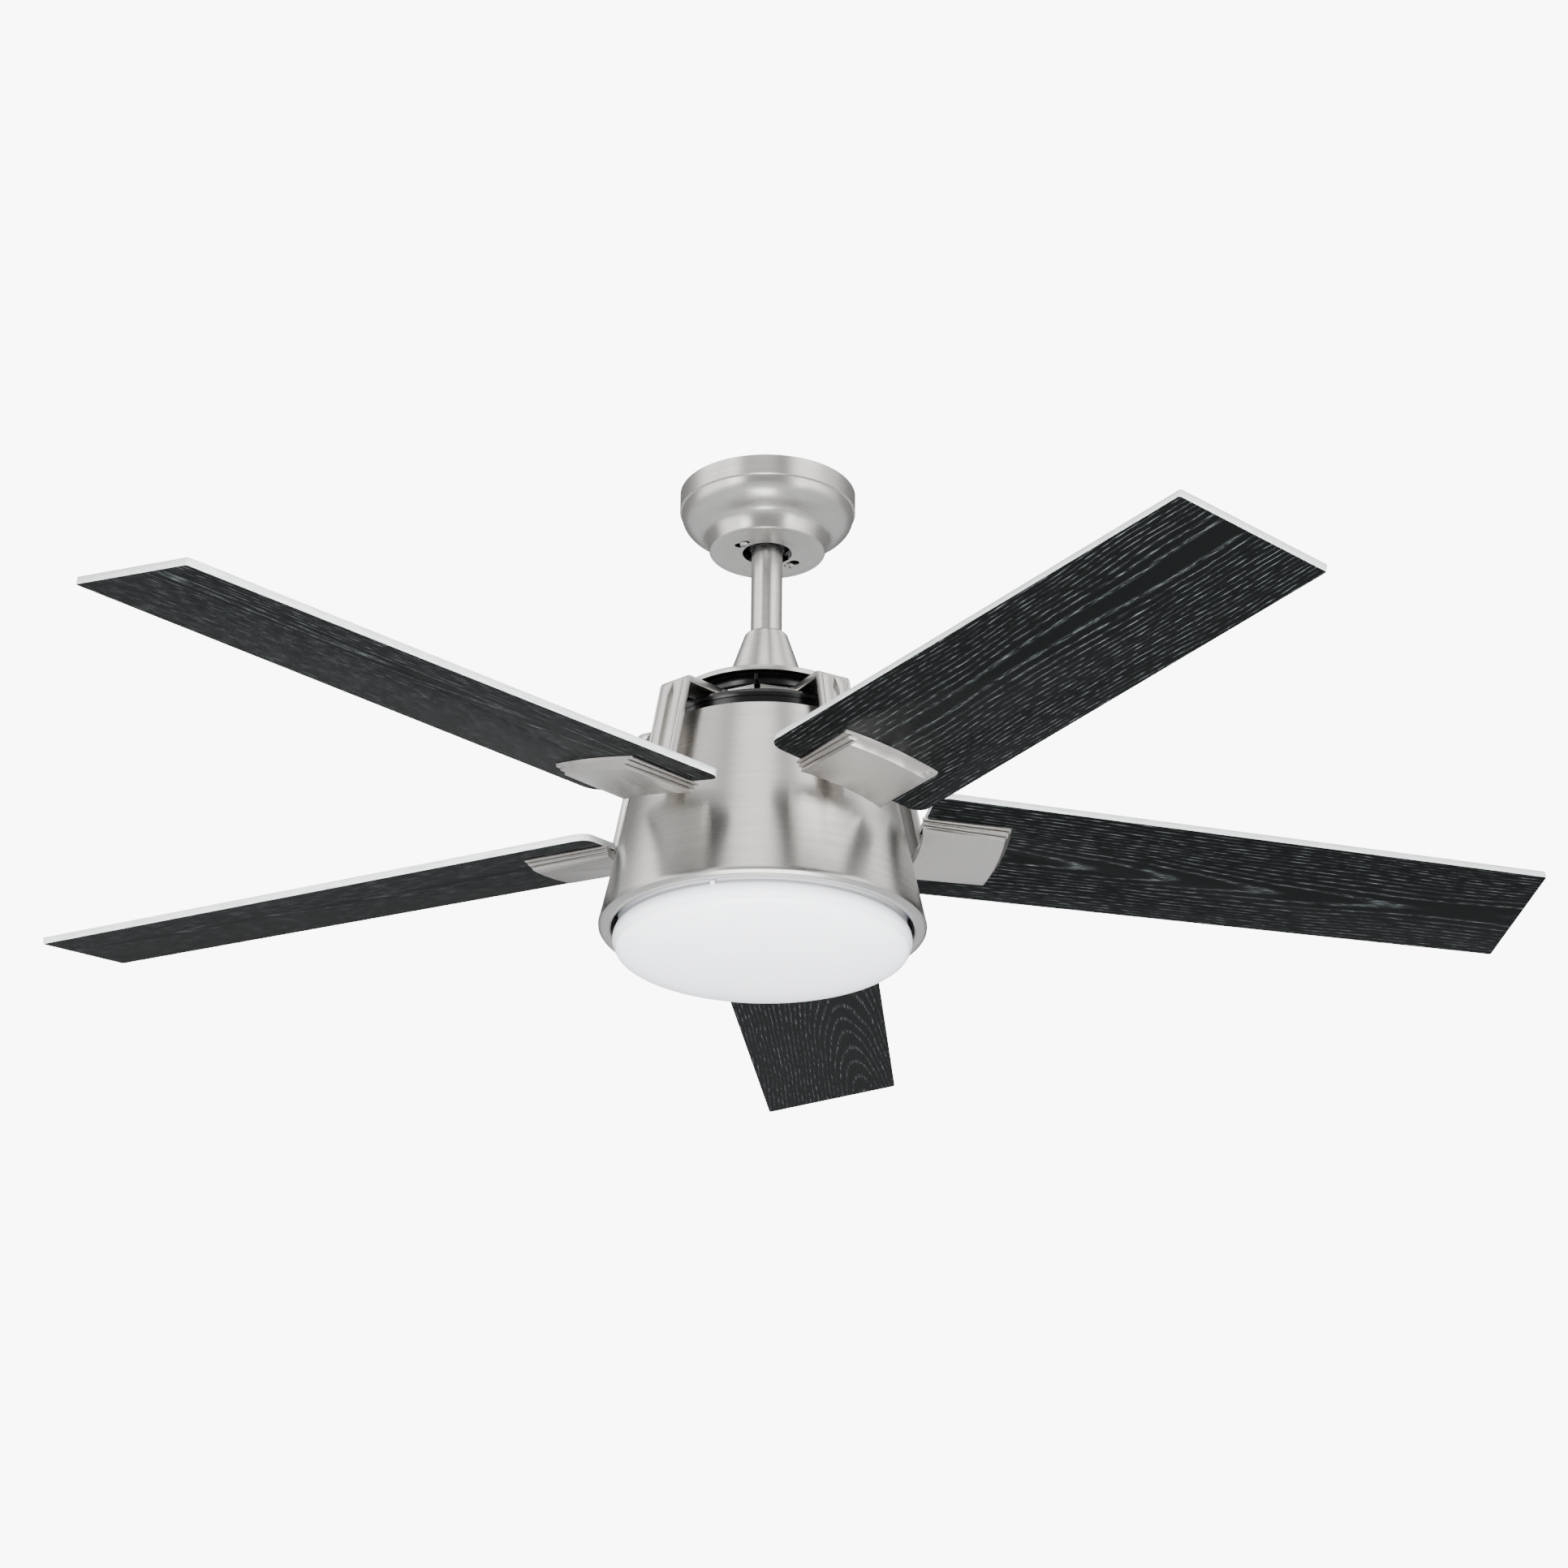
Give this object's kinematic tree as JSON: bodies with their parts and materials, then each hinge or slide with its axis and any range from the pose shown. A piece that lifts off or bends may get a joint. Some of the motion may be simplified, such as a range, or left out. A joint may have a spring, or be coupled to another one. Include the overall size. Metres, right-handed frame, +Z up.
{
  "type": "ceiling fan",
  "caption": "Ceiling fan with a short downrod, wide flat blades on bent arms round a tapered metal drum, and a round opal light under it.",
  "frame": {"origin": "centre of the hanger bracket's top face, which lies on the ceiling", "axes": "+Z up into the ceiling along the motor axis at rest, +Y out along blade 1"},
  "size_m": [1.2926, 1.2301, 0.4325],
  "materials": {
    "brushed_nickel": "brushed nickel plate, satin",
    "satin_nickel": "die-cast and plated in satin nickel",
    "zinc_steel": "zinc plated",
    "black_paint": "semi-gloss black",
    "black_plastic": "moulded, slightly glossy",
    "lead_sleeve": "matt sleeving",
    "electrical_steel": "stacked laminations",
    "copper": "enamelled copper wire",
    "ferrite": "moulded ferrite, matt",
    "white_paint": "white, matt",
    "led_board": "white solder mask",
    "white_plastic": "moulded",
    "opal_shade": "opal, satin gloss",
    "blade_laminate": "black oak laminate below, silver above and on the edges"
  },
  "bodies": {
    "mount": {"hanger_bracket": "zinc_steel", "canopy": "brushed_nickel", "canopy_screw_1": "zinc_steel", "canopy_screw_2": "zinc_steel", "remote_receiver": "black_plastic"},
    "drop": {"hanger_ball": "black_plastic", "ball_pin": "zinc_steel", "downrod": "brushed_nickel", "lead_bundle": "lead_sleeve", "coupling_cover": "brushed_nickel", "motor_yoke": "black_paint", "yoke_pin": "zinc_steel", "yoke_pin_clip": "zinc_steel", "yoke_set_screw": "zinc_steel", "motor_shaft": "zinc_steel", "stator_core": "electrical_steel", "upper_coils": "copper", "lower_coils": "copper", "motor_housing": "brushed_nickel", "housing_support": "zinc_steel", "shaft_nut": "zinc_steel", "housing_screw_1": "zinc_steel", "housing_screw_2": "zinc_steel", "housing_screw_3": "zinc_steel", "light_pan": "white_paint", "led_board": "led_board", "led_driver": "white_plastic"},
    "rotor": {"rotor_top_casting": "black_paint", "rotor_can": "black_paint", "magnet_ring": "ferrite", "upper_bearing": "zinc_steel", "lower_bearing": "zinc_steel", "top_cap": "brushed_nickel", "blade_arm_1": "satin_nickel", "blade_arm_2": "satin_nickel", "blade_arm_3": "satin_nickel", "blade_arm_4": "satin_nickel", "blade_arm_5": "satin_nickel", "blade_1": "blade_laminate", "blade_2": "blade_laminate", "blade_3": "blade_laminate", "blade_4": "blade_laminate", "blade_5": "blade_laminate", "blade_1_screw_1": "zinc_steel", "blade_1_screw_2": "zinc_steel", "blade_1_screw_3": "zinc_steel", "blade_2_screw_1": "zinc_steel", "blade_2_screw_2": "zinc_steel", "blade_2_screw_3": "zinc_steel", "blade_3_screw_1": "zinc_steel", "blade_3_screw_2": "zinc_steel", "blade_3_screw_3": "zinc_steel", "blade_4_screw_1": "zinc_steel", "blade_4_screw_2": "zinc_steel", "blade_4_screw_3": "zinc_steel", "blade_5_screw_1": "zinc_steel", "blade_5_screw_2": "zinc_steel", "blade_5_screw_3": "zinc_steel"},
    "shade": {"light_shade": "opal_shade"}
  },
  "joints": [
    {"name": "hanger_swing", "type": "hinge", "parent": "mount", "child": "drop", "pos_m": [0, 0, -0.0345], "axis": [1, 0, 0], "range_deg": [-15, 15]},
    {"name": "rotor_spin", "type": "hinge", "parent": "drop", "child": "rotor", "pos_m": [0, 0, -0.206], "axis": [0, 0, 1], "continuous": true},
    {"name": "shade_twist", "type": "hinge", "parent": "drop", "child": "shade", "pos_m": [0, 0, -0.4395], "axis": [0, 0, 1], "range_deg": [-15, 0]}
  ]
}
